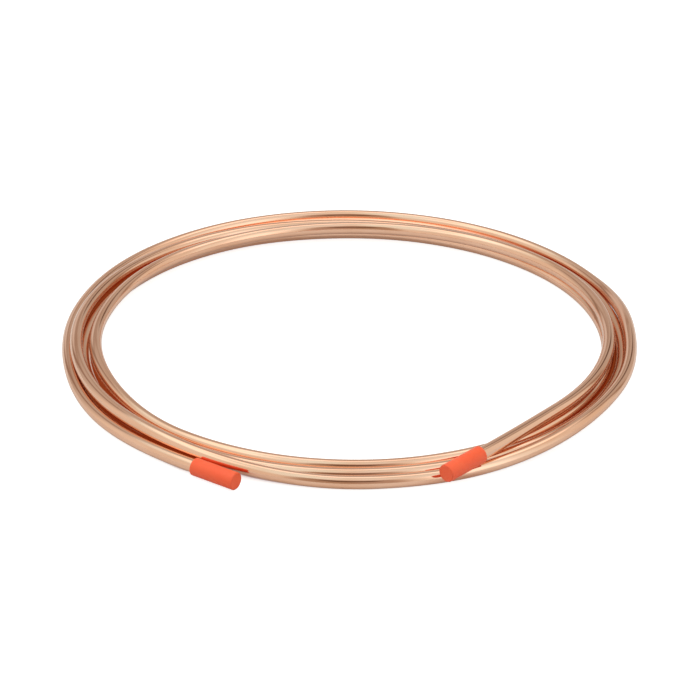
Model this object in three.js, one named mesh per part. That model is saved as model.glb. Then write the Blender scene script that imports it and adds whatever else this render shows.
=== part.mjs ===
// Coil of soft copper tube, loosely wound, with a push-on vinyl cap over each end.
// Units are millimetres, +Z is up and the coil lies flat on z = 0, centred over the origin.
import * as THREE from "three";

// ---- driving dimensions ----
const TUBE_DIAMETER = 6.35; // outside diameter, 1/4 in
const TUBE_WALL = 0.76; // standard wall for this size of soft tube
const CAP_LENGTH = 23.8; // over all
const CAP_CLEARANCE = 0.12; // between the bore of a cap and the tube
const CAP_WALL = 0.95;
const CAP_FLOOR = 1.3; // thickness of the closed end
const CAP_EDGE = 0.5; // rounding round the closed end
const END_RUN = 24; // straight length at each end of the tube

// ---- how fine the faces are ----
const TUBE_STEPS = 318; // along the whole tube
const TUBE_SIDES = 12; // round the outside, with a corner at the top and the bottom
const BORE_SIDES = 8;
const CAP_SIDES = 24;

// ---- the winding ----
// Angles turn clockwise, seen from above, from the +X axis. Radii and lifts are in tube
// diameters: a coil is judged by how many diameters apart its turns lie. The tube winds
// inwards from its outer end, loose and a little out of round, so its radius is given once
// every 24 degrees. Where it climbs on to another turn it is lifted, and it eases from one
// lift to the next.
const FIRST_TURN = 119; // end A leaves the coil here
const LAST_TURN = 1481; // and end B starts to cross the other turns here
const RADIUS_START = 96; // the angle of the first radius
const RADIUS_STEP = 24;
const RADII = [
  24.55, 23.27, 22.74, 22.10, 22.13, 22.39, 22.43, 22.31, 22.23, 22.29, 22.36, 22.18, 22.70,
  22.87, 22.65, 22.43, 22.15, 21.90, 21.48, 21.27, 21.25, 21.02, 20.45, 20.38, 20.76, 21.18,
  21.52, 21.93, 21.91, 21.56, 21.37, 21.25, 21.38, 20.92, 20.34, 19.88, 19.41, 18.97, 19.10,
  19.53, 20.08, 20.48, 20.76, 20.73, 20.42, 20.15, 20.03, 20.10, 20.00, 19.51, 19.06, 18.50,
  18.24, 18.46, 19.05, 19.90, 20.50, 20.76, 20.80,
];
const LIFTS = [
  [119, 0.17], [156, 0], [331, 0], [362, 0.87], [386, 0.82], [432, 0], [448, 0], [500, 0.9],
  [518, 0.9], [608, 0], [1208, 0], [1250, 0.8], [1270, 0.76], [1290, 0.79], [1350, 0.77],
  [1430, 1.05], [1464, 1.06], [1481, 1.08],
];

// End B crosses out over the turns below it: where its straight run starts, in millimetres
// from the coil's axis, how far it is lifted there, and the way that it points.
const CROSSING_END = { x: 62, y: -130.4, lift: 1.28 };
const CROSSING_WAY = -133.5; // degrees from the +X axis
const CROSSING_LEAD_IN = 25; // how long it holds the winding's own direction
const CROSSING_LEAD_OUT = 15; // and how soon it takes up that of the straight run

const radius = TUBE_DIAMETER / 2;

function radiusAt(turn) {
  const along = (turn - RADIUS_START) / RADIUS_STEP;
  const i = Math.min(Math.floor(along), RADII.length - 2);
  const w = along - i;
  const b = RADII[i];
  const c = RADII[i + 1];
  const a = RADII[i - 1] ?? 2 * b - c;
  const d = RADII[i + 2] ?? 2 * c - b;
  const bend = a - 2.5 * b + 2 * c - d / 2 + w * (1.5 * (b - c) + (d - a) / 2);
  return b + w * ((c - a) / 2 + w * bend);
}

function liftAt(turn) {
  const i = Math.max(LIFTS.findIndex(([end]) => turn <= end), 1);
  const [[turn0, lift0], [turn1, lift1]] = LIFTS.slice(i - 1, i + 1);
  return THREE.MathUtils.lerp(lift0, lift1, THREE.MathUtils.smoothstep(turn, turn0, turn1));
}

// The tube's centre line, from end A to where end B starts to cross.
class Winding extends THREE.Curve {
  constructor() {
    super();
    this.arcLengthDivisions = 3000;
  }

  getPoint(t, target = new THREE.Vector3()) {
    const turn = THREE.MathUtils.lerp(FIRST_TURN, LAST_TURN, t);
    const angle = THREE.MathUtils.degToRad(turn);
    const out = radiusAt(turn) * TUBE_DIAMETER;
    const height = radius + liftAt(turn) * TUBE_DIAMETER;
    return target.set(out * Math.cos(angle), -out * Math.sin(angle), height);
  }
}

// The run of tube that lifts out of the winding and crosses over it to end B.
function crossing(winding) {
  const from = winding.getPoint(1);
  const leadIn = winding.getTangent(1).multiplyScalar(CROSSING_LEAD_IN);
  const angle = THREE.MathUtils.degToRad(CROSSING_WAY);
  const way = new THREE.Vector3(Math.cos(angle), Math.sin(angle), 0);
  const { x, y, lift } = CROSSING_END;
  const to = new THREE.Vector3(x, y, radius + lift * TUBE_DIAMETER);
  const before = to.clone().addScaledVector(way, -CROSSING_LEAD_OUT);
  return new THREE.CubicBezierCurve3(from, from.clone().add(leadIn), before, to);
}

// A straight run that carries a curve on from one of its ends; way is +1 or -1.
function endRun(curve, t, way) {
  const from = curve.getPoint(t);
  const along = curve.getTangent(t).multiplyScalar(way);
  return { from, along, to: from.clone().addScaledVector(along, END_RUN) };
}

// Corners of a regular outline, the first one on the +X axis of the section.
function outline(size, sides) {
  return Array.from({ length: sides }, (_, i) => {
    const a = (2 * Math.PI * i) / sides;
    return new THREE.Vector2(size * Math.cos(a), size * Math.sin(a));
  });
}

function finish(color, roughness, metalness) {
  return new THREE.MeshStandardMaterial({ color, roughness, metalness });
}

const winding = new Winding();
const crossOver = crossing(winding);
const runA = endRun(winding, 0, -1);
const runB = endRun(crossOver, 1, 1);

// The tube: its ring section, wall and open bore, swept along the whole line.
function makeTube() {
  const line = new THREE.CurvePath();
  line.add(new THREE.LineCurve3(runA.to, runA.from));
  line.add(winding);
  line.add(crossOver);
  line.add(new THREE.LineCurve3(runB.from, runB.to));
  const section = new THREE.Shape(outline(radius, TUBE_SIDES));
  section.holes.push(new THREE.Path(outline(radius - TUBE_WALL, BORE_SIDES).reverse()));
  return new THREE.ExtrudeGeometry(section, {
    steps: TUBE_STEPS,
    extrudePath: line,
    bevelEnabled: false,
  });
}

// A cap: a turned cup with a rounded closed end, its open mouth at z = 0 and its end above.
function makeCap() {
  const bore = radius + CAP_CLEARANCE;
  const outer = bore + CAP_WALL;
  const profile = [
    [0, CAP_LENGTH - CAP_FLOOR],
    [bore, CAP_LENGTH - CAP_FLOOR],
    [bore, 0],
    [outer, 0],
    [outer, CAP_LENGTH - CAP_EDGE],
    [outer - 0.3 * CAP_EDGE, CAP_LENGTH - 0.3 * CAP_EDGE],
    [outer - CAP_EDGE, CAP_LENGTH],
    [0, CAP_LENGTH],
  ].map(([x, y]) => new THREE.Vector2(x, y));
  return new THREE.LatheGeometry(profile, CAP_SIDES).rotateX(Math.PI / 2);
}

// Stands a cap on the end of a run, its floor just clear of the cut end of the tube.
function fitCap(geometry, run) {
  const turn = new THREE.Quaternion().setFromUnitVectors(new THREE.Vector3(0, 0, 1), run.along);
  const reach = CAP_LENGTH - CAP_FLOOR - CAP_CLEARANCE;
  const mouth = run.to.clone().addScaledVector(run.along, -reach);
  return geometry.applyQuaternion(turn).translate(mouth.x, mouth.y, mouth.z);
}

const copper = finish(0xd9ac92, 0.22, 1);
const vinyl = finish(0xf2603a, 0.5, 0);

const group = new THREE.Group();
group.name = "copper_tube_coil";
function add(name, geometry, material) {
  const mesh = new THREE.Mesh(geometry, material);
  mesh.name = name;
  group.add(mesh);
}
add("copper_tube", makeTube(), copper);
add("end_cap_a", fitCap(makeCap(), runA), vinyl);
add("end_cap_b", fitCap(makeCap(), runB), vinyl.clone());

// The loose turns aren't quite round, so the whole coil is moved to sit centred over the
// origin, with its lowest turn on z = 0.
const box = new THREE.Box3().setFromObject(group);
const centre = box.getCenter(new THREE.Vector3());
for (const mesh of group.children) mesh.geometry.translate(-centre.x, -centre.y, -box.min.z);

export default group;
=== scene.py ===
# %% [markdown]
# # A coil of soft copper tube
# Soft tube of this size is sold as a loose flat coil: nearly four turns lie beside and on
# each other, and an orange vinyl cap on each end keeps dirt and damp out of the bore.
# This lesson dresses the solid model of one for a render. Everything is in metres, the
# floor is z = 0, and +Z is up.

# %% Load the solid model
import math
import bpy
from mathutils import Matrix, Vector


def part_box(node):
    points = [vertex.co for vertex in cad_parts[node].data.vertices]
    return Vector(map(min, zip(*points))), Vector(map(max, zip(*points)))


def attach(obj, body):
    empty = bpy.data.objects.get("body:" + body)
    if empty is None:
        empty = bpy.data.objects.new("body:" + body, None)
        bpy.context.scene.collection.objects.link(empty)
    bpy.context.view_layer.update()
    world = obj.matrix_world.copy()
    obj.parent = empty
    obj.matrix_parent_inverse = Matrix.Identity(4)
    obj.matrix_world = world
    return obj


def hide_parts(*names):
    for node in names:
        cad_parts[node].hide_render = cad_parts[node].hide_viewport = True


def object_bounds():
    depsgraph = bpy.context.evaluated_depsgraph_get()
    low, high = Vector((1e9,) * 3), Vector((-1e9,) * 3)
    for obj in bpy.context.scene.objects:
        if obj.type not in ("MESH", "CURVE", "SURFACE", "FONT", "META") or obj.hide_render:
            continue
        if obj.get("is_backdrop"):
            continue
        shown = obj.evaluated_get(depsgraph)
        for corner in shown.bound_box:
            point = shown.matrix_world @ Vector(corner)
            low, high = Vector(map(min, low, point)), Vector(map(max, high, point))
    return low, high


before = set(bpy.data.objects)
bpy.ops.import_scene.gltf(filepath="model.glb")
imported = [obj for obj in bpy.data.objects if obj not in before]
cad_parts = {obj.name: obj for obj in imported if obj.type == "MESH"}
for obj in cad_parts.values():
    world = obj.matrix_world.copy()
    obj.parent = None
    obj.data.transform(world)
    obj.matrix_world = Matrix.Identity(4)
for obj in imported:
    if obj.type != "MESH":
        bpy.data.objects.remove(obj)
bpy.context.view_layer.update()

MM = 0.001

# %% [markdown]
# ## The sizes
# This is quarter-inch tube, 6.35 mm outside, with the standard 0.76 mm wall for that size.
# A vinyl cap is moulded a little larger than the tube, and holds by its own grip.

# %% Sizes of the tube and its caps
TUBE_DIAMETER = 6.35 * MM
TUBE_WALL = 0.76 * MM
CAP_LENGTH = 23.8 * MM
CAP_CLEARANCE = 0.12 * MM
CAP_WALL = 0.95 * MM
CAP_FLOOR = 1.3 * MM
CAP_EDGE = 0.65 * MM
END_RUN = 24 * MM
print("tube bore, mm:", round((TUBE_DIAMETER - 2 * TUBE_WALL) / MM, 2))

# %% [markdown]
# ## The winding
# Soft tube keeps the shape that a hand bent it to, so its turns wander a little. A helix
# would be easy, but far too even. Here the path is written as a winder would see it: the
# angle turned so far, clockwise from above, how far the tube is from the coil's axis, once
# every 24 degrees, and how far it is lifted off the floor where it climbs over another
# turn. Both lengths are in tube diameters, which makes a gap or a clash easy to spot: turns
# that touch are 1 apart. The origin is the middle of the whole part, and both ends stick
# out at the front, so the coil's axis stands a few millimetres behind the origin.

# %% The winding, in tube diameters
COIL_AXIS = Vector((-0.42, 3.449, 0)) * MM
FIRST_TURN = 119
LAST_TURN = 1481
RADIUS_START = 96
RADIUS_STEP = 24
RADII = [
    24.55, 23.27, 22.74, 22.10, 22.13, 22.39, 22.43, 22.31, 22.23, 22.29, 22.36, 22.18, 22.70,
    22.87, 22.65, 22.43, 22.15, 21.90, 21.48, 21.27, 21.25, 21.02, 20.45, 20.38, 20.76, 21.18,
    21.52, 21.93, 21.91, 21.56, 21.37, 21.25, 21.38, 20.92, 20.34, 19.88, 19.41, 18.97, 19.10,
    19.53, 20.08, 20.48, 20.76, 20.73, 20.42, 20.15, 20.03, 20.10, 20.00, 19.51, 19.06, 18.50,
    18.24, 18.46, 19.05, 19.90, 20.50, 20.76, 20.80,
]
LIFTS = [
    (119, 0.17), (156, 0), (331, 0), (362, 0.87), (386, 0.82), (432, 0), (448, 0), (500, 0.9),
    (518, 0.9), (608, 0), (1208, 0), (1250, 0.8), (1270, 0.76), (1290, 0.79), (1350, 0.77),
    (1430, 1.05), (1464, 1.06), (1481, 1.08),
]


def radius_at(turn):
    """Distance from the coil's axis, on a smooth curve through the radii."""
    along = (turn - RADIUS_START) / RADIUS_STEP
    i = min(int(along), len(RADII) - 2)
    w = along - i
    b, c = RADII[i], RADII[i + 1]
    a = RADII[i - 1] if i else 2 * b - c
    d = RADII[i + 2] if i + 2 < len(RADII) else 2 * c - b
    bend = a - 2.5 * b + 2 * c - d / 2 + w * (1.5 * (b - c) + (d - a) / 2)
    return b + w * ((c - a) / 2 + w * bend)


def lift_at(turn):
    """Height above the floor, eased from one lift to the next."""
    for (turn0, lift0), (turn1, lift1) in zip(LIFTS, LIFTS[1:]):
        if turn <= turn1:
            w = (turn - turn0) / (turn1 - turn0)
            return lift0 + (lift1 - lift0) * w * w * (3 - 2 * w)
    return LIFTS[-1][1]


print("turns:", round((LAST_TURN - FIRST_TURN) / 360, 2))

# %% [markdown]
# ## From the winding to a line
# A short function turns an angle into a point. The last part of the tube leaves the coil
# and crosses over it, which a Bezier curve does well: it holds the winding's direction at
# one end and takes up that of the cap at the other. Each end of the tube is straight where
# a cap goes on, because a cap can't be pushed over a bend.

# %% The tube's centre line
CROSSING_END = Vector((62 * MM, -130.4 * MM, 1.78 * TUBE_DIAMETER))
CROSSING_WAY = math.radians(-133.5)
LEAD_IN = 25 * MM
LEAD_OUT = 15 * MM
WOUND_STEPS = 900
CROSSING_STEPS = 30
RUN_STEPS = 5
A_LITTLE = 0.1  # degrees, to find which way the line points


def point_at(turn):
    angle, out = math.radians(turn), radius_at(turn) * TUBE_DIAMETER
    height = (0.5 + lift_at(turn)) * TUBE_DIAMETER
    return Vector((out * math.cos(angle), -out * math.sin(angle), height))


def run(start, end, count):
    return [start.lerp(end, i / count) for i in range(count)]


span = LAST_TURN - FIRST_TURN
wound = [point_at(FIRST_TURN + span * i / WOUND_STEPS) for i in range(WOUND_STEPS + 1)]
way_a = (point_at(FIRST_TURN) - point_at(FIRST_TURN + A_LITTLE)).normalized()
leaving = (point_at(LAST_TURN) - point_at(LAST_TURN - A_LITTLE)).normalized()
way_b = Vector((math.cos(CROSSING_WAY), math.sin(CROSSING_WAY), 0))
lead_in, lead_out = leaving * LEAD_IN, way_b * LEAD_OUT
pulls = [wound[-1], wound[-1] + lead_in, CROSSING_END - lead_out, CROSSING_END]
crossing = []
for i in range(1, CROSSING_STEPS):
    w = i / CROSSING_STEPS
    shares = ((1 - w) ** 3, 3 * w * (1 - w) ** 2, 3 * w * w * (1 - w), w**3)
    crossing.append(sum((p * s for p, s in zip(pulls, shares)), Vector()))
tip_a = wound[0] + way_a * END_RUN
tip_b = CROSSING_END + way_b * END_RUN
start, end = run(tip_a, wound[0], RUN_STEPS), run(CROSSING_END, tip_b, RUN_STEPS)
line = [p + COIL_AXIS for p in start + wound + crossing + end + [tip_b]]
tip_a, tip_b = line[0], line[-1]
length = sum((b - a).length for a, b in zip(line, line[1:]))
print("length of tube, m:", round(length, 3), "in", len(line), "points")

# %% [markdown]
# ## A hand for edit mode
# So each step starts by letting go of everything and taking up one piece.

# %% Pick one piece
def pick(piece=None):
    if bpy.context.object and bpy.context.object.mode != "OBJECT":
        bpy.ops.object.mode_set(mode="OBJECT")
    bpy.ops.object.select_all(action="DESELECT")
    if piece:
        piece.select_set(True)
        bpy.context.view_layer.objects.active = piece


pick()
print("selected:", len(bpy.context.selected_objects))

# %% [markdown]
# ## The tube
# Real tube is drawn through a die, straight, and then wound. In Blender it could be a
# circle that is extruded and turned a thousand times, but a curve with a round bevel does
# the same work in one step, and its rings stay square to the line in every bend. The bevel
# leaves both ends open.

# %% Sweep the outside of the tube
bpy.ops.curve.primitive_bezier_curve_add(location=(0, 0, 0))
tube = bpy.context.object
tube.name = "copper_tube_skin"
tube.data.splines.clear()
spline = tube.data.splines.new("POLY")
spline.points.add(len(line) - 1)
for knot, at in zip(spline.points, line):
    knot.co = (*at, 1)
tube.data.bevel_depth = TUBE_DIAMETER / 2
tube.data.bevel_resolution = 18  # 40 corners in a ring
pick(tube)
bpy.ops.object.convert(target="MESH")
sides = len(tube.data.vertices) // len(line)
print("rings:", len(line), "corners in a ring:", sides)

# %% [markdown]
# ## Remember the straight tube
# The die leaves faint lines that run along the tube, wherever it is bent to afterwards. A
# pattern can only follow them if each corner of the mesh knows where it was on the straight
# tube. That is kept as an attribute, with x and y round the section and z along the length.

# %% Keep each corner's place on the straight tube
as_drawn = tube.data.attributes.new("as_drawn", "FLOAT_VECTOR", "POINT")
reach = 0
for ring in range(len(line)):
    if ring:
        reach += (line[ring] - line[ring - 1]).length
    for side in range(sides):
        turn = 2 * math.pi * side / sides
        at = Vector((math.cos(turn), math.sin(turn), 0)) * TUBE_DIAMETER / 2
        as_drawn.data[ring * sides + side].vector = at + Vector((0, 0, reach))
print("straight length, m:", round(reach, 3))

# %% [markdown]
# ## The wall
# A Solidify modifier that grows only inwards gives the tube its wall and its bore, and
# leaves the outside as it was.

# %% Give the tube its wall
SHARP = math.radians(40)
wall = tube.modifiers.new("wall", "SOLIDIFY")
wall.thickness = TUBE_WALL
wall.offset = -1
bpy.ops.object.modifier_apply(modifier="wall")
bpy.ops.object.shade_smooth_by_angle(angle=SHARP)
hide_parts("copper_tube")
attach(tube, "root")
print("tube faces:", len(tube.data.polygons))

# %% [markdown]
# ## The caps
# A cap like this is moulded in soft vinyl: a plain cup with a flat end and a small rounding
# round that end. It starts as a circle. Extruding it gives the side, filling the last ring
# gives the end, and bevelling that ring's edges rounds it. The wall comes from Solidify
# again. Both caps are the same moulding, so one function makes them, each with its own mesh.

# %% Model a cap standing on its mouth
def make_cap(name):
    pick()
    outer = TUBE_DIAMETER / 2 + CAP_CLEARANCE + CAP_WALL
    bpy.ops.mesh.primitive_circle_add(vertices=64, radius=outer, location=(0, 0, 0))
    cap = bpy.context.object
    cap.name = name
    bpy.ops.object.mode_set(mode="EDIT")
    bpy.ops.mesh.extrude_region_move(TRANSFORM_OT_translate={"value": (0, 0, CAP_LENGTH)})
    bpy.ops.mesh.edge_face_add()
    bpy.ops.mesh.bevel(offset=CAP_EDGE, segments=5, affect="EDGES")
    bpy.ops.mesh.select_all(action="SELECT")
    bpy.ops.mesh.normals_make_consistent(inside=False)
    bpy.ops.object.mode_set(mode="OBJECT")
    wall = cap.modifiers.new("wall", "SOLIDIFY")
    wall.thickness = CAP_WALL
    wall.offset = -1
    bpy.ops.object.modifier_apply(modifier="wall")
    return cap


cap_a, cap_b = make_cap("cap_skin_a"), make_cap("cap_skin_b")
print("cap, mm:", round(cap_a.dimensions.x / MM, 2), "by", round(cap_a.dimensions.z / MM, 2))

# %% [markdown]
# ## Round the mouths and push the caps on
# The mouth's edges are found by their place: both of their corners are at z = 0. After that
# the cap is turned to point along the end of the tube and slid on. Its place is applied to
# the mesh, so that the finished piece sits at the origin like every other.

# %% Fit the caps
MOUTH_EDGE = 0.16 * MM


def fit_cap(cap, tip, way):
    pick(cap)
    for edge in cap.data.edges:
        edge.select = all(abs(cap.data.vertices[v].co.z) < 0.01 * MM for v in edge.vertices)
    bpy.ops.object.mode_set(mode="EDIT")
    bpy.ops.mesh.select_mode(type="EDGE")
    bpy.ops.mesh.bevel(offset=MOUTH_EDGE, segments=2, affect="EDGES")
    bpy.ops.object.mode_set(mode="OBJECT")
    bpy.ops.object.shade_smooth_by_angle(angle=SHARP)
    cap.rotation_mode = "QUATERNION"
    cap.rotation_quaternion = Vector((0, 0, 1)).rotation_difference(way)
    cap.location = tip - way * (CAP_LENGTH - CAP_FLOOR - CAP_CLEARANCE)
    bpy.ops.object.transform_apply(location=True, rotation=True, scale=True)


fits = ((cap_a, tip_a, way_a, "end_cap_a"), (cap_b, tip_b, way_b, "end_cap_b"))
for cap, tip, way, solid in fits:
    fit_cap(cap, tip, way)
    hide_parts(solid)
    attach(cap, "root")
    low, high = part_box(solid)
    middle = [round((a + b) / 2 / MM, 1) for a, b in zip(low, high)]
    print("middle of", solid + ", mm:", middle)

# %% [markdown]
# ## Nodes and colours
# Colours are easiest to judge as sRGB hex values, but Blender's sockets want linear light.
# One function turns the first into the second. A second one adds a node, gives it its
# settings, and feeds its inputs with links or plain values. Every material below is built
# with these two.

# %% Two helpers for every material
def linear(code):
    parts = [int(code[i : i + 2], 16) / 255 for i in (1, 3, 5)]
    return [c / 12.92 if c <= 0.04045 else ((c + 0.055) / 1.055) ** 2.4 for c in parts] + [1]


def add(tree, kind, feeds=None, **settings):
    node = tree.nodes.new("ShaderNode" + kind)
    for name, value in settings.items():
        if hasattr(node, name):
            setattr(node, name, value)
        else:
            node.inputs[name.replace("_", " ")].default_value = value
    for socket, source in (feeds or {}).items():
        if isinstance(source, bpy.types.NodeSocket):
            tree.links.new(source, node.inputs[socket])
        else:
            node.inputs[socket].default_value = source
    return node


print("middle grey in linear light:", [round(c, 3) for c in linear("#808080")[:3]])

# %% [markdown]
# ## Bright-drawn copper
# Phosphorus-deoxidised copper, drawn bright and then annealed soft in clean gas, so it has
# no scale: a pale pinkish metal that mirrors what is round it, a little blurred. To the eye
# that means full metallic, a roughness near 0.12, and next to no pattern of its own.
# The die's lines are about 0.15 mm apart and a hand's breadth long. They are drawn 0.5 mm
# apart here, which is as fine as a render of the whole coil can show. They reach the
# roughness and, very faintly, the bump. Handling leaves a thin warm bloom in patches a few
# centimetres long, and it darkens the colour slightly. A noise's scale is how many of its
# spots go to the metre, so 2000 puts them 0.5 mm apart.

# %% The copper
DIE_LINES = (2000, 2000, 12)  # across the tube both ways, then along it
BLOOM = (160, 160, 28)
copper = bpy.data.materials.new("bright_drawn_copper")
copper.use_nodes = True
tree = copper.node_tree
tree.nodes.clear()
drawn = add(tree, "Attribute", attribute_name="as_drawn").outputs["Vector"]
finely = add(tree, "Mapping", {"Vector": drawn}, Scale=DIE_LINES).outputs[0]
lines = add(tree, "TexNoise", {"Vector": finely}, Scale=1, Detail=2, Roughness=0.6).outputs[0]
broadly = add(tree, "Mapping", {"Vector": drawn}, Scale=BLOOM).outputs[0]
bloom = add(tree, "TexNoise", {"Vector": broadly}, Scale=1, Detail=3).outputs[0]
tarnish = add(tree, "MapRange", {"Value": bloom}, From_Min=0.42, From_Max=0.72).outputs[0]
shades = {0: tarnish, 6: linear("#f9c8aa"), 7: linear("#f1ba98")}
colour = add(tree, "Mix", shades, data_type="RGBA").outputs[2]
dull = add(
    tree, "MapRange", {"Value": lines},
    From_Min=0.3, From_Max=0.7, To_Min=0.08, To_Max=0.15,
).outputs[0]
relief = add(tree, "Bump", {"Height": lines}, Strength=0.12, Distance=0.02 * MM)
feeds = {"Base Color": colour, "Roughness": dull, "Normal": relief.outputs[0]}
surface = add(tree, "BsdfPrincipled", feeds, Metallic=1)
add(tree, "OutputMaterial", {"Surface": surface.outputs[0]})
tube.data.materials.append(copper)
print(copper.name, "nodes:", len(tree.nodes))

# %% [markdown]
# ## Soft orange vinyl
# Plasticised PVC, dip-moulded, with an opaque orange pigment. It has a soft satin shine and
# a fine pebbled skin, and lets a little light spread under its surface, which keeps its
# shaded side a clear orange. PVC's IOR is 1.53. The pebbles are 0.3 mm across, which is
# 3300 to the metre, and the pigment lies in clouds of 5 or 6 mm.

# %% The vinyl
PEBBLES = 3300
CLOUDS = 180
vinyl = bpy.data.materials.new("soft_orange_vinyl")
vinyl.use_nodes = True
tree = vinyl.node_tree
tree.nodes.clear()
place = add(tree, "TexCoord").outputs["Object"]
pebbles = add(tree, "TexNoise", {"Vector": place}, Scale=PEBBLES, Detail=2).outputs[0]
clouds = add(tree, "TexNoise", {"Vector": place}, Scale=CLOUDS, Detail=2).outputs[0]
shades = {0: clouds, 6: linear("#ff592a"), 7: linear("#ff6536")}
colour = add(tree, "Mix", shades, data_type="RGBA").outputs[2]
satin = add(
    tree, "MapRange", {"Value": pebbles},
    From_Min=0.3, From_Max=0.7, To_Min=0.42, To_Max=0.58,
).outputs[0]
relief = add(tree, "Bump", {"Height": pebbles}, Strength=0.25, Distance=0.04 * MM)
feeds = {"Base Color": colour, "Roughness": satin, "Normal": relief.outputs[0]}
surface = add(
    tree, "BsdfPrincipled", feeds, IOR=1.53,
    Subsurface_Weight=0.15, Subsurface_Scale=1.5 * MM, Subsurface_Radius=(1, 0.35, 0.15),
)
add(tree, "OutputMaterial", {"Surface": surface.outputs[0]})
for cap in (cap_a, cap_b):
    cap.data.materials.append(vinyl)
print(vinyl.name, "nodes:", len(tree.nodes))

# %% [markdown]
# ## Where the coil shades the floor
# The coil lies on white paper. Between its turns hardly any light reaches the paper, and
# what does has been from copper to copper several times, which leaves it a deep red-brown.
# A path tracer would need many bounces for that, so it is painted: the paper is dark from
# the innermost turn that lies on it to the outermost. A turn that climbs on to another still
# counts for its first 30 degrees, but the outer edge moves in under it as it rises. On the
# near side the inner edge moves in too, because the camera looks in under the turns there.
# Both edges are found from the winding, once every 6 degrees. A curve's knots lie between
# 0 and 1, so the edges are written as shares of a 0.2 m radius.

# %% Find the innermost and the outermost turn
FULL = 0.2
EVERY = 6
CLIMB = 30
LOW = 0.35  # a turn that is lifted less, in tube diameters, lies on the floor
INNER_SHIFT = 0.5  # tube diameters
INNER_SHIFT_PER_LIFT = 1.2
OUTER_SHIFT_PER_LIFT = 0.6


def edges_at(angle):
    turns = [angle + 360 * i for i in range(5)]
    turns = [t for t in turns if FIRST_TURN <= t <= LAST_TURN]
    turns = [t for t in turns if lift_at(max(t - CLIMB, FIRST_TURN)) < LOW]
    near = max(math.sin(math.radians(angle)), 0)
    shifts = [INNER_SHIFT + INNER_SHIFT_PER_LIFT * lift_at(t) for t in turns]
    inside = min(radius_at(t) - shift * near for t, shift in zip(turns, shifts))
    outside = max(radius_at(t) - OUTER_SHIFT_PER_LIFT * lift_at(t) for t in turns)
    return inside * TUBE_DIAMETER / FULL, outside * TUBE_DIAMETER / FULL


angles = range(0, 361, EVERY)
inner, outer = zip(*[edges_at(angle) for angle in angles])
print("shade, mm:", round(min(inner) * FULL / MM), "to", round(max(outer) * FULL / MM))

# %% [markdown]
# ## The paper
# The coil lies on one large sheet. Its shade is a ring, so each point of the sheet has to
# know its angle round the coil's axis and its distance from it. A Float Curve node holds
# each edge of the ring: it takes the angle and gives the radius. A point is in the shade
# when it is past the inner edge and short of the outer one, and each edge is 2 mm soft.

# %% Measure each point of the floor against the coil
SOFT_EDGE = 1 * MM
pick()
bpy.ops.mesh.primitive_plane_add(size=12, location=(0, 0, 0))
floor = bpy.context.object
floor.name = "floor"
floor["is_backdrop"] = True
paper = bpy.data.materials.new("white_paper")
paper.use_nodes = True
tree = paper.node_tree
tree.nodes.clear()
place = add(tree, "TexCoord").outputs["Object"]
place = add(tree, "VectorMath", {0: place, 1: COIL_AXIS}, operation="SUBTRACT").outputs[0]
flat = add(tree, "SeparateXYZ", {0: place})
forward = add(tree, "Math", {0: flat.outputs["Y"], 1: -1}, operation="MULTIPLY").outputs[0]
turned = add(tree, "Math", {0: forward, 1: flat.outputs["X"]}, operation="ARCTAN2").outputs[0]
turned = add(tree, "Math", {0: turned, 1: 1 / math.tau}, operation="MULTIPLY").outputs[0]
turned = add(tree, "Math", {0: turned, 1: 1}, operation="FLOORED_MODULO").outputs[0]
out = add(tree, "VectorMath", {0: place}, operation="LENGTH").outputs["Value"]
shaded = None
for radii, soft in ((inner, SOFT_EDGE), (outer, -SOFT_EDGE)):
    edge = add(tree, "FloatCurve", {"Value": turned})
    curve = edge.mapping.curves[0]
    for angle in angles[2:]:
        curve.points.new(angle / 360, 0.5)
    for knot, angle, radius in zip(curve.points, angles, radii):
        knot.location = (angle / 360, radius)
    edge.mapping.update()
    past = {0: edge.outputs[0], 1: -FULL, 2: out}
    past = add(tree, "Math", past, operation="MULTIPLY_ADD").outputs[0]
    side = add(tree, "MapRange", {"Value": past}, From_Min=-soft, From_Max=soft).outputs[0]
    shaded = add(tree, "Math", {0: shaded or 1, 1: side}, operation="MULTIPLY").outputs[0]
    in_front = edge.mapping.evaluate(curve, 0.25) * FULL
    print("edge of the shade at the front, mm:", round(in_front / MM, 1))

# %% [markdown]
# ## The paper's colour and glow
# White paper that is lit plainly renders pale grey, so it also glows by a little under 1 to
# the camera. The light on the coil doesn't change by that, and the coil's shadow still
# takes the diffuse part away. Metal has to see a pale floor too, so glossy and transmitted
# rays get a smaller share of the glow. Between the turns, where no lamp reaches, they get
# all of it. There both the glow and the paper's colour are a painted red-brown: painted
# light and painted shade in place of the light that goes from copper to copper. The painted
# red-brown fades towards the back, where the turns lie wide enough apart for the room to
# shine in between them.

# %% Finish the paper
GLOW = 0.8
MIRRORED_GLOW = 0.12
PAINTED_SHADE_UP_TO, PAINTED_SHADE_GONE_FROM = 90 * MM, 125 * MM  # behind the coil's axis
# Painted shade: the red-brown between the turns fades out towards the back.
fade = add(
    tree, "MapRange", {"Value": flat.outputs["Y"]},
    From_Min=PAINTED_SHADE_GONE_FROM, From_Max=PAINTED_SHADE_UP_TO,
).outputs[0]
painted_shade_share = add(tree, "Math", {0: shaded, 1: fade}, operation="MULTIPLY").outputs[0]
# Painted shade: the paper's own colour turns red-brown between the turns.
shades = {0: painted_shade_share, 6: linear("#c8c8c8"), 7: linear("#7a2410")}
colour = add(tree, "Mix", shades, data_type="RGBA").outputs[2]
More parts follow.
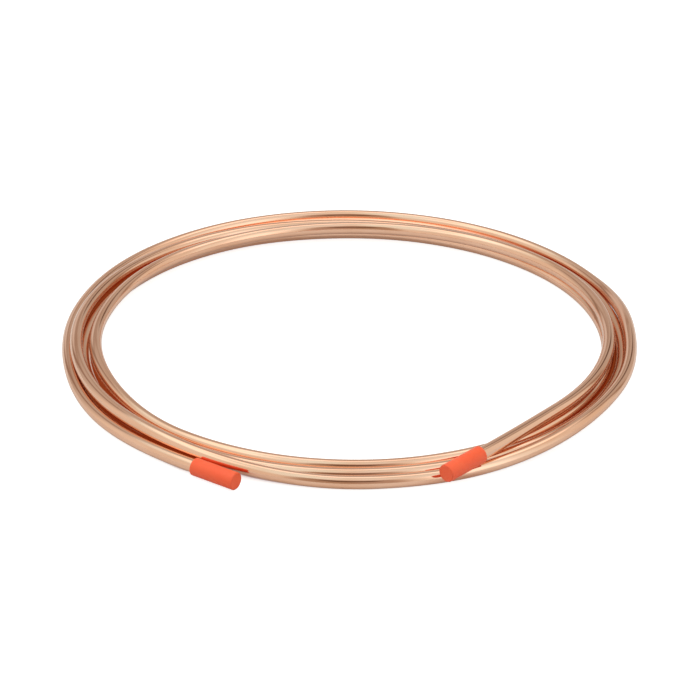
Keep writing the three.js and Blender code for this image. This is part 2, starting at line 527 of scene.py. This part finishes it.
# Painted light: between the turns the paper glows red-brown, for light gone from copper to
# copper.
shades = {0: painted_shade_share, 6: linear("#ffffff"), 7: linear("#823b1a")}
glow_and_painted_light_colour = add(tree, "Mix", shades, data_type="RGBA").outputs[2]
path = add(tree, "LightPath").outputs
seen = {0: path["Is Glossy Ray"], 1: path["Is Transmission Ray"]}
seen = add(tree, "Math", seen, operation="ADD").outputs[0]
mirrored = add(tree, "Math", {0: seen, 1: MIRRORED_GLOW}, operation="MULTIPLY").outputs[0]
glow = {0: path["Is Camera Ray"], 1: GLOW, 2: mirrored}
glow = add(tree, "Math", glow, operation="MULTIPLY_ADD").outputs[0]
# Painted light: between the turns every ray, not only the camera's, gets the glow at full
# strength.
painted_light_between_turns = add(tree, "Math", {0: shaded, 1: GLOW}, operation="MULTIPLY").outputs[0]
glow = add(tree, "Math", {0: glow, 1: painted_light_between_turns}, operation="MAXIMUM").outputs[0]
diffuse = add(tree, "BsdfDiffuse", {"Color": colour}).outputs[0]
light = add(tree, "Emission", {"Color": glow_and_painted_light_colour, "Strength": glow}).outputs[0]
both = add(tree, "AddShader", {0: diffuse, 1: light}).outputs[0]
add(tree, "OutputMaterial", {"Surface": both})
floor.data.materials.append(paper)
print(paper.name, "nodes:", len(tree.nodes))

# %% [markdown]
# ## The studio
# Metal has no look of its own: it shows the room. A bright tube is lit in a white tent, and
# the bands on it are that tent's walls. So the world is the tent, as the coil sees it: plain
# pale walls, a paler roof with a soft box in it, a bright panel to the right, a darker back
# wall with a ledge and dark seams, and a gap where the camera looks in.
# Each zone is a soft-edged patch between two compass angles, 0 straight behind the coil and
# positive to the right, and between two heights, all in degrees. The patches are laid over
# each other in order. The world's strength multiplies every colour, so the soft box is
# half as bright again as a plain white.

# %% The tent's zones
STRENGTH = 1.5
WALL = "#c2c3be"
ZONES = [
    # zone, left, right, low, high, softness across, softness up and down, colour
    ("left of the roof", -170, -12, 45, 120, 10, 5, "#cadddf"),
    ("middle of the roof", -12, 70, 56, 120, 10, 8, "#bdc5c2"),
    ("right of the roof", 70, 175, 60, 120, 10, 8, "#c6d0d2"),
    ("soft box", -125, 66, 55, 69, 8, 4, "#ffffff"),
    ("right panel", 104, 151, -90, 62, 10, 6, "#d0dddf"),
    ("middle of the right panel", 124, 149, 8, 50, 7, 7, "#f4f6f7"),
    ("back wall", -60, 62, -90, 47, 14, 5, "#a19f9b"),
    ("lit part of the back wall", -30, 2, 8, 21, 5, 4, "#b6b6b6"),
    ("ledge", -40, 8, 22, 28, 5, 3, "#8a7f76"),
    ("left seam", -43, -34, 3, 46, 4, 4, "#7b6b61"),
    ("right seam", 19, 30, 20, 47, 4, 4, "#54443a"),
    ("far right seam", 53, 61, 5, 50, 4, 5, "#7f6e5f"),
    ("camera gap, from the left", -200, -158, 3, 60, 5, 5, "#908172"),
    ("camera gap, from the right", 160, 200, 3, 60, 5, 5, "#96897f"),
    ("camera, from the left", -200, -168, 33, 50, 3, 3, "#54443a"),
    ("camera, from the right", 170, 200, 33, 50, 3, 3, "#54443a"),
]
print("zones:", len(ZONES))

# %% [markdown]
# ## From zones to a world
# A picture of a tent could be wrapped round the scene, but its walls are plain enough to be
# worked out. The direction that is looked in gives a compass angle and a height. Each edge
# of a zone is one soft step in one of them, the four steps are multiplied, and the zone's
# colour is mixed in by as much as that leaves.

# %% The world
world = bpy.data.worlds.new("tent")
bpy.context.scene.world = world
world.use_nodes = True
tree = world.node_tree
tree.nodes.clear()
axes = add(tree, "SeparateXYZ", {0: add(tree, "TexCoord").outputs["Generated"]}).outputs
compass = add(tree, "Math", {0: axes["X"], 1: axes["Y"]}, operation="ARCTAN2").outputs[0]
compass = add(tree, "Math", {0: compass}, operation="DEGREES").outputs[0]
height = add(tree, "Math", {0: axes["Z"]}, operation="ARCSINE").outputs[0]
height = add(tree, "Math", {0: height}, operation="DEGREES").outputs[0]
colour = linear(WALL)
for name, left, right, low, high, across, upright, code in ZONES:
    zone = 1
    for angle, edge, soft in (
        (compass, left, across), (compass, right, -across),
        (height, low, upright), (height, high, -upright),
    ):
        ramp = {"Value": angle, "From Min": edge - soft, "From Max": edge + soft}
        side = add(tree, "MapRange", ramp, interpolation_type="SMOOTHSTEP").outputs[0]
        zone = add(tree, "Math", {0: zone, 1: side}, operation="MULTIPLY").outputs[0]
    shades = {0: zone, 6: colour, 7: linear(code)}
    colour = add(tree, "Mix", shades, data_type="RGBA", label=name).outputs[2]
light = add(tree, "Background", {"Color": colour}, Strength=STRENGTH)
add(tree, "OutputWorld", {"Surface": light.outputs[0]})
print(world.name, "nodes:", len(tree.nodes))

# %% [markdown]
# ## A lamp for the caps
# A white tent lights metal well, but leaves a dull surface under it a little dark. One soft
# lamp from above brings the caps to the colour that they were given. It is hidden from
# glossy rays, because a lamp that isn't part of the tent would put a streak on every turn
# of the tube.

# %% The lamp
LEANING = (math.radians(-12), math.radians(-14), 0)
pick()
bpy.ops.object.light_add(type="SUN", rotation=LEANING)
lamp = bpy.context.object
lamp.name = "soft_lamp"
lamp.data.energy = 0.85
lamp.data.angle = math.radians(80)
lamp.visible_glossy = False
print(lamp.name, lamp.data.energy)

# %% [markdown]
# ## The camera
# It stands 1.4 m away and 28 degrees above the floor, with a long lens, so the coil is seen
# as a flat ellipse with hardly any perspective. The frame is 700 pixels square. The lens is
# given in those pixels too, and so is the place in the frame that it points at, counted
# from the top left corner. That place is a little off the middle, so the frame is shifted.

# %% The camera
FRAME = 700
FOCAL_LENGTH = 2728.3
POINTS_AT = (347.67, 341.88)
SENSOR = 36  # mm
RAISED = math.radians(28)
AWAY = 1.375
pick()
bpy.ops.object.camera_add(
    location=COIL_AXIS + AWAY * Vector((0, -math.cos(RAISED), math.sin(RAISED))),
    rotation=(math.pi / 2 - RAISED, 0, 0),
)
camera = bpy.context.object
camera.name = "camera"
camera.data.sensor_width = SENSOR
camera.data.lens = FOCAL_LENGTH / FRAME * SENSOR
camera.data.clip_start, camera.data.clip_end = 0.05, 20
camera.data.shift_x = (FRAME / 2 - POINTS_AT[0]) / FRAME
camera.data.shift_y = -(FRAME / 2 - POINTS_AT[1]) / FRAME
bpy.context.scene.camera = camera
bpy.context.scene.view_settings.view_transform = "Standard"
print("lens, mm:", round(camera.data.lens, 1))

# %% [markdown]
# ## Measure and finish
# The dressed model has to be as large as the solid one, so the dressed model's box is
# printed.

# %% Measure, then finish
low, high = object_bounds()
print("dressed model, mm:", [round((b - a) / MM, 1) for a, b in zip(low, high)])
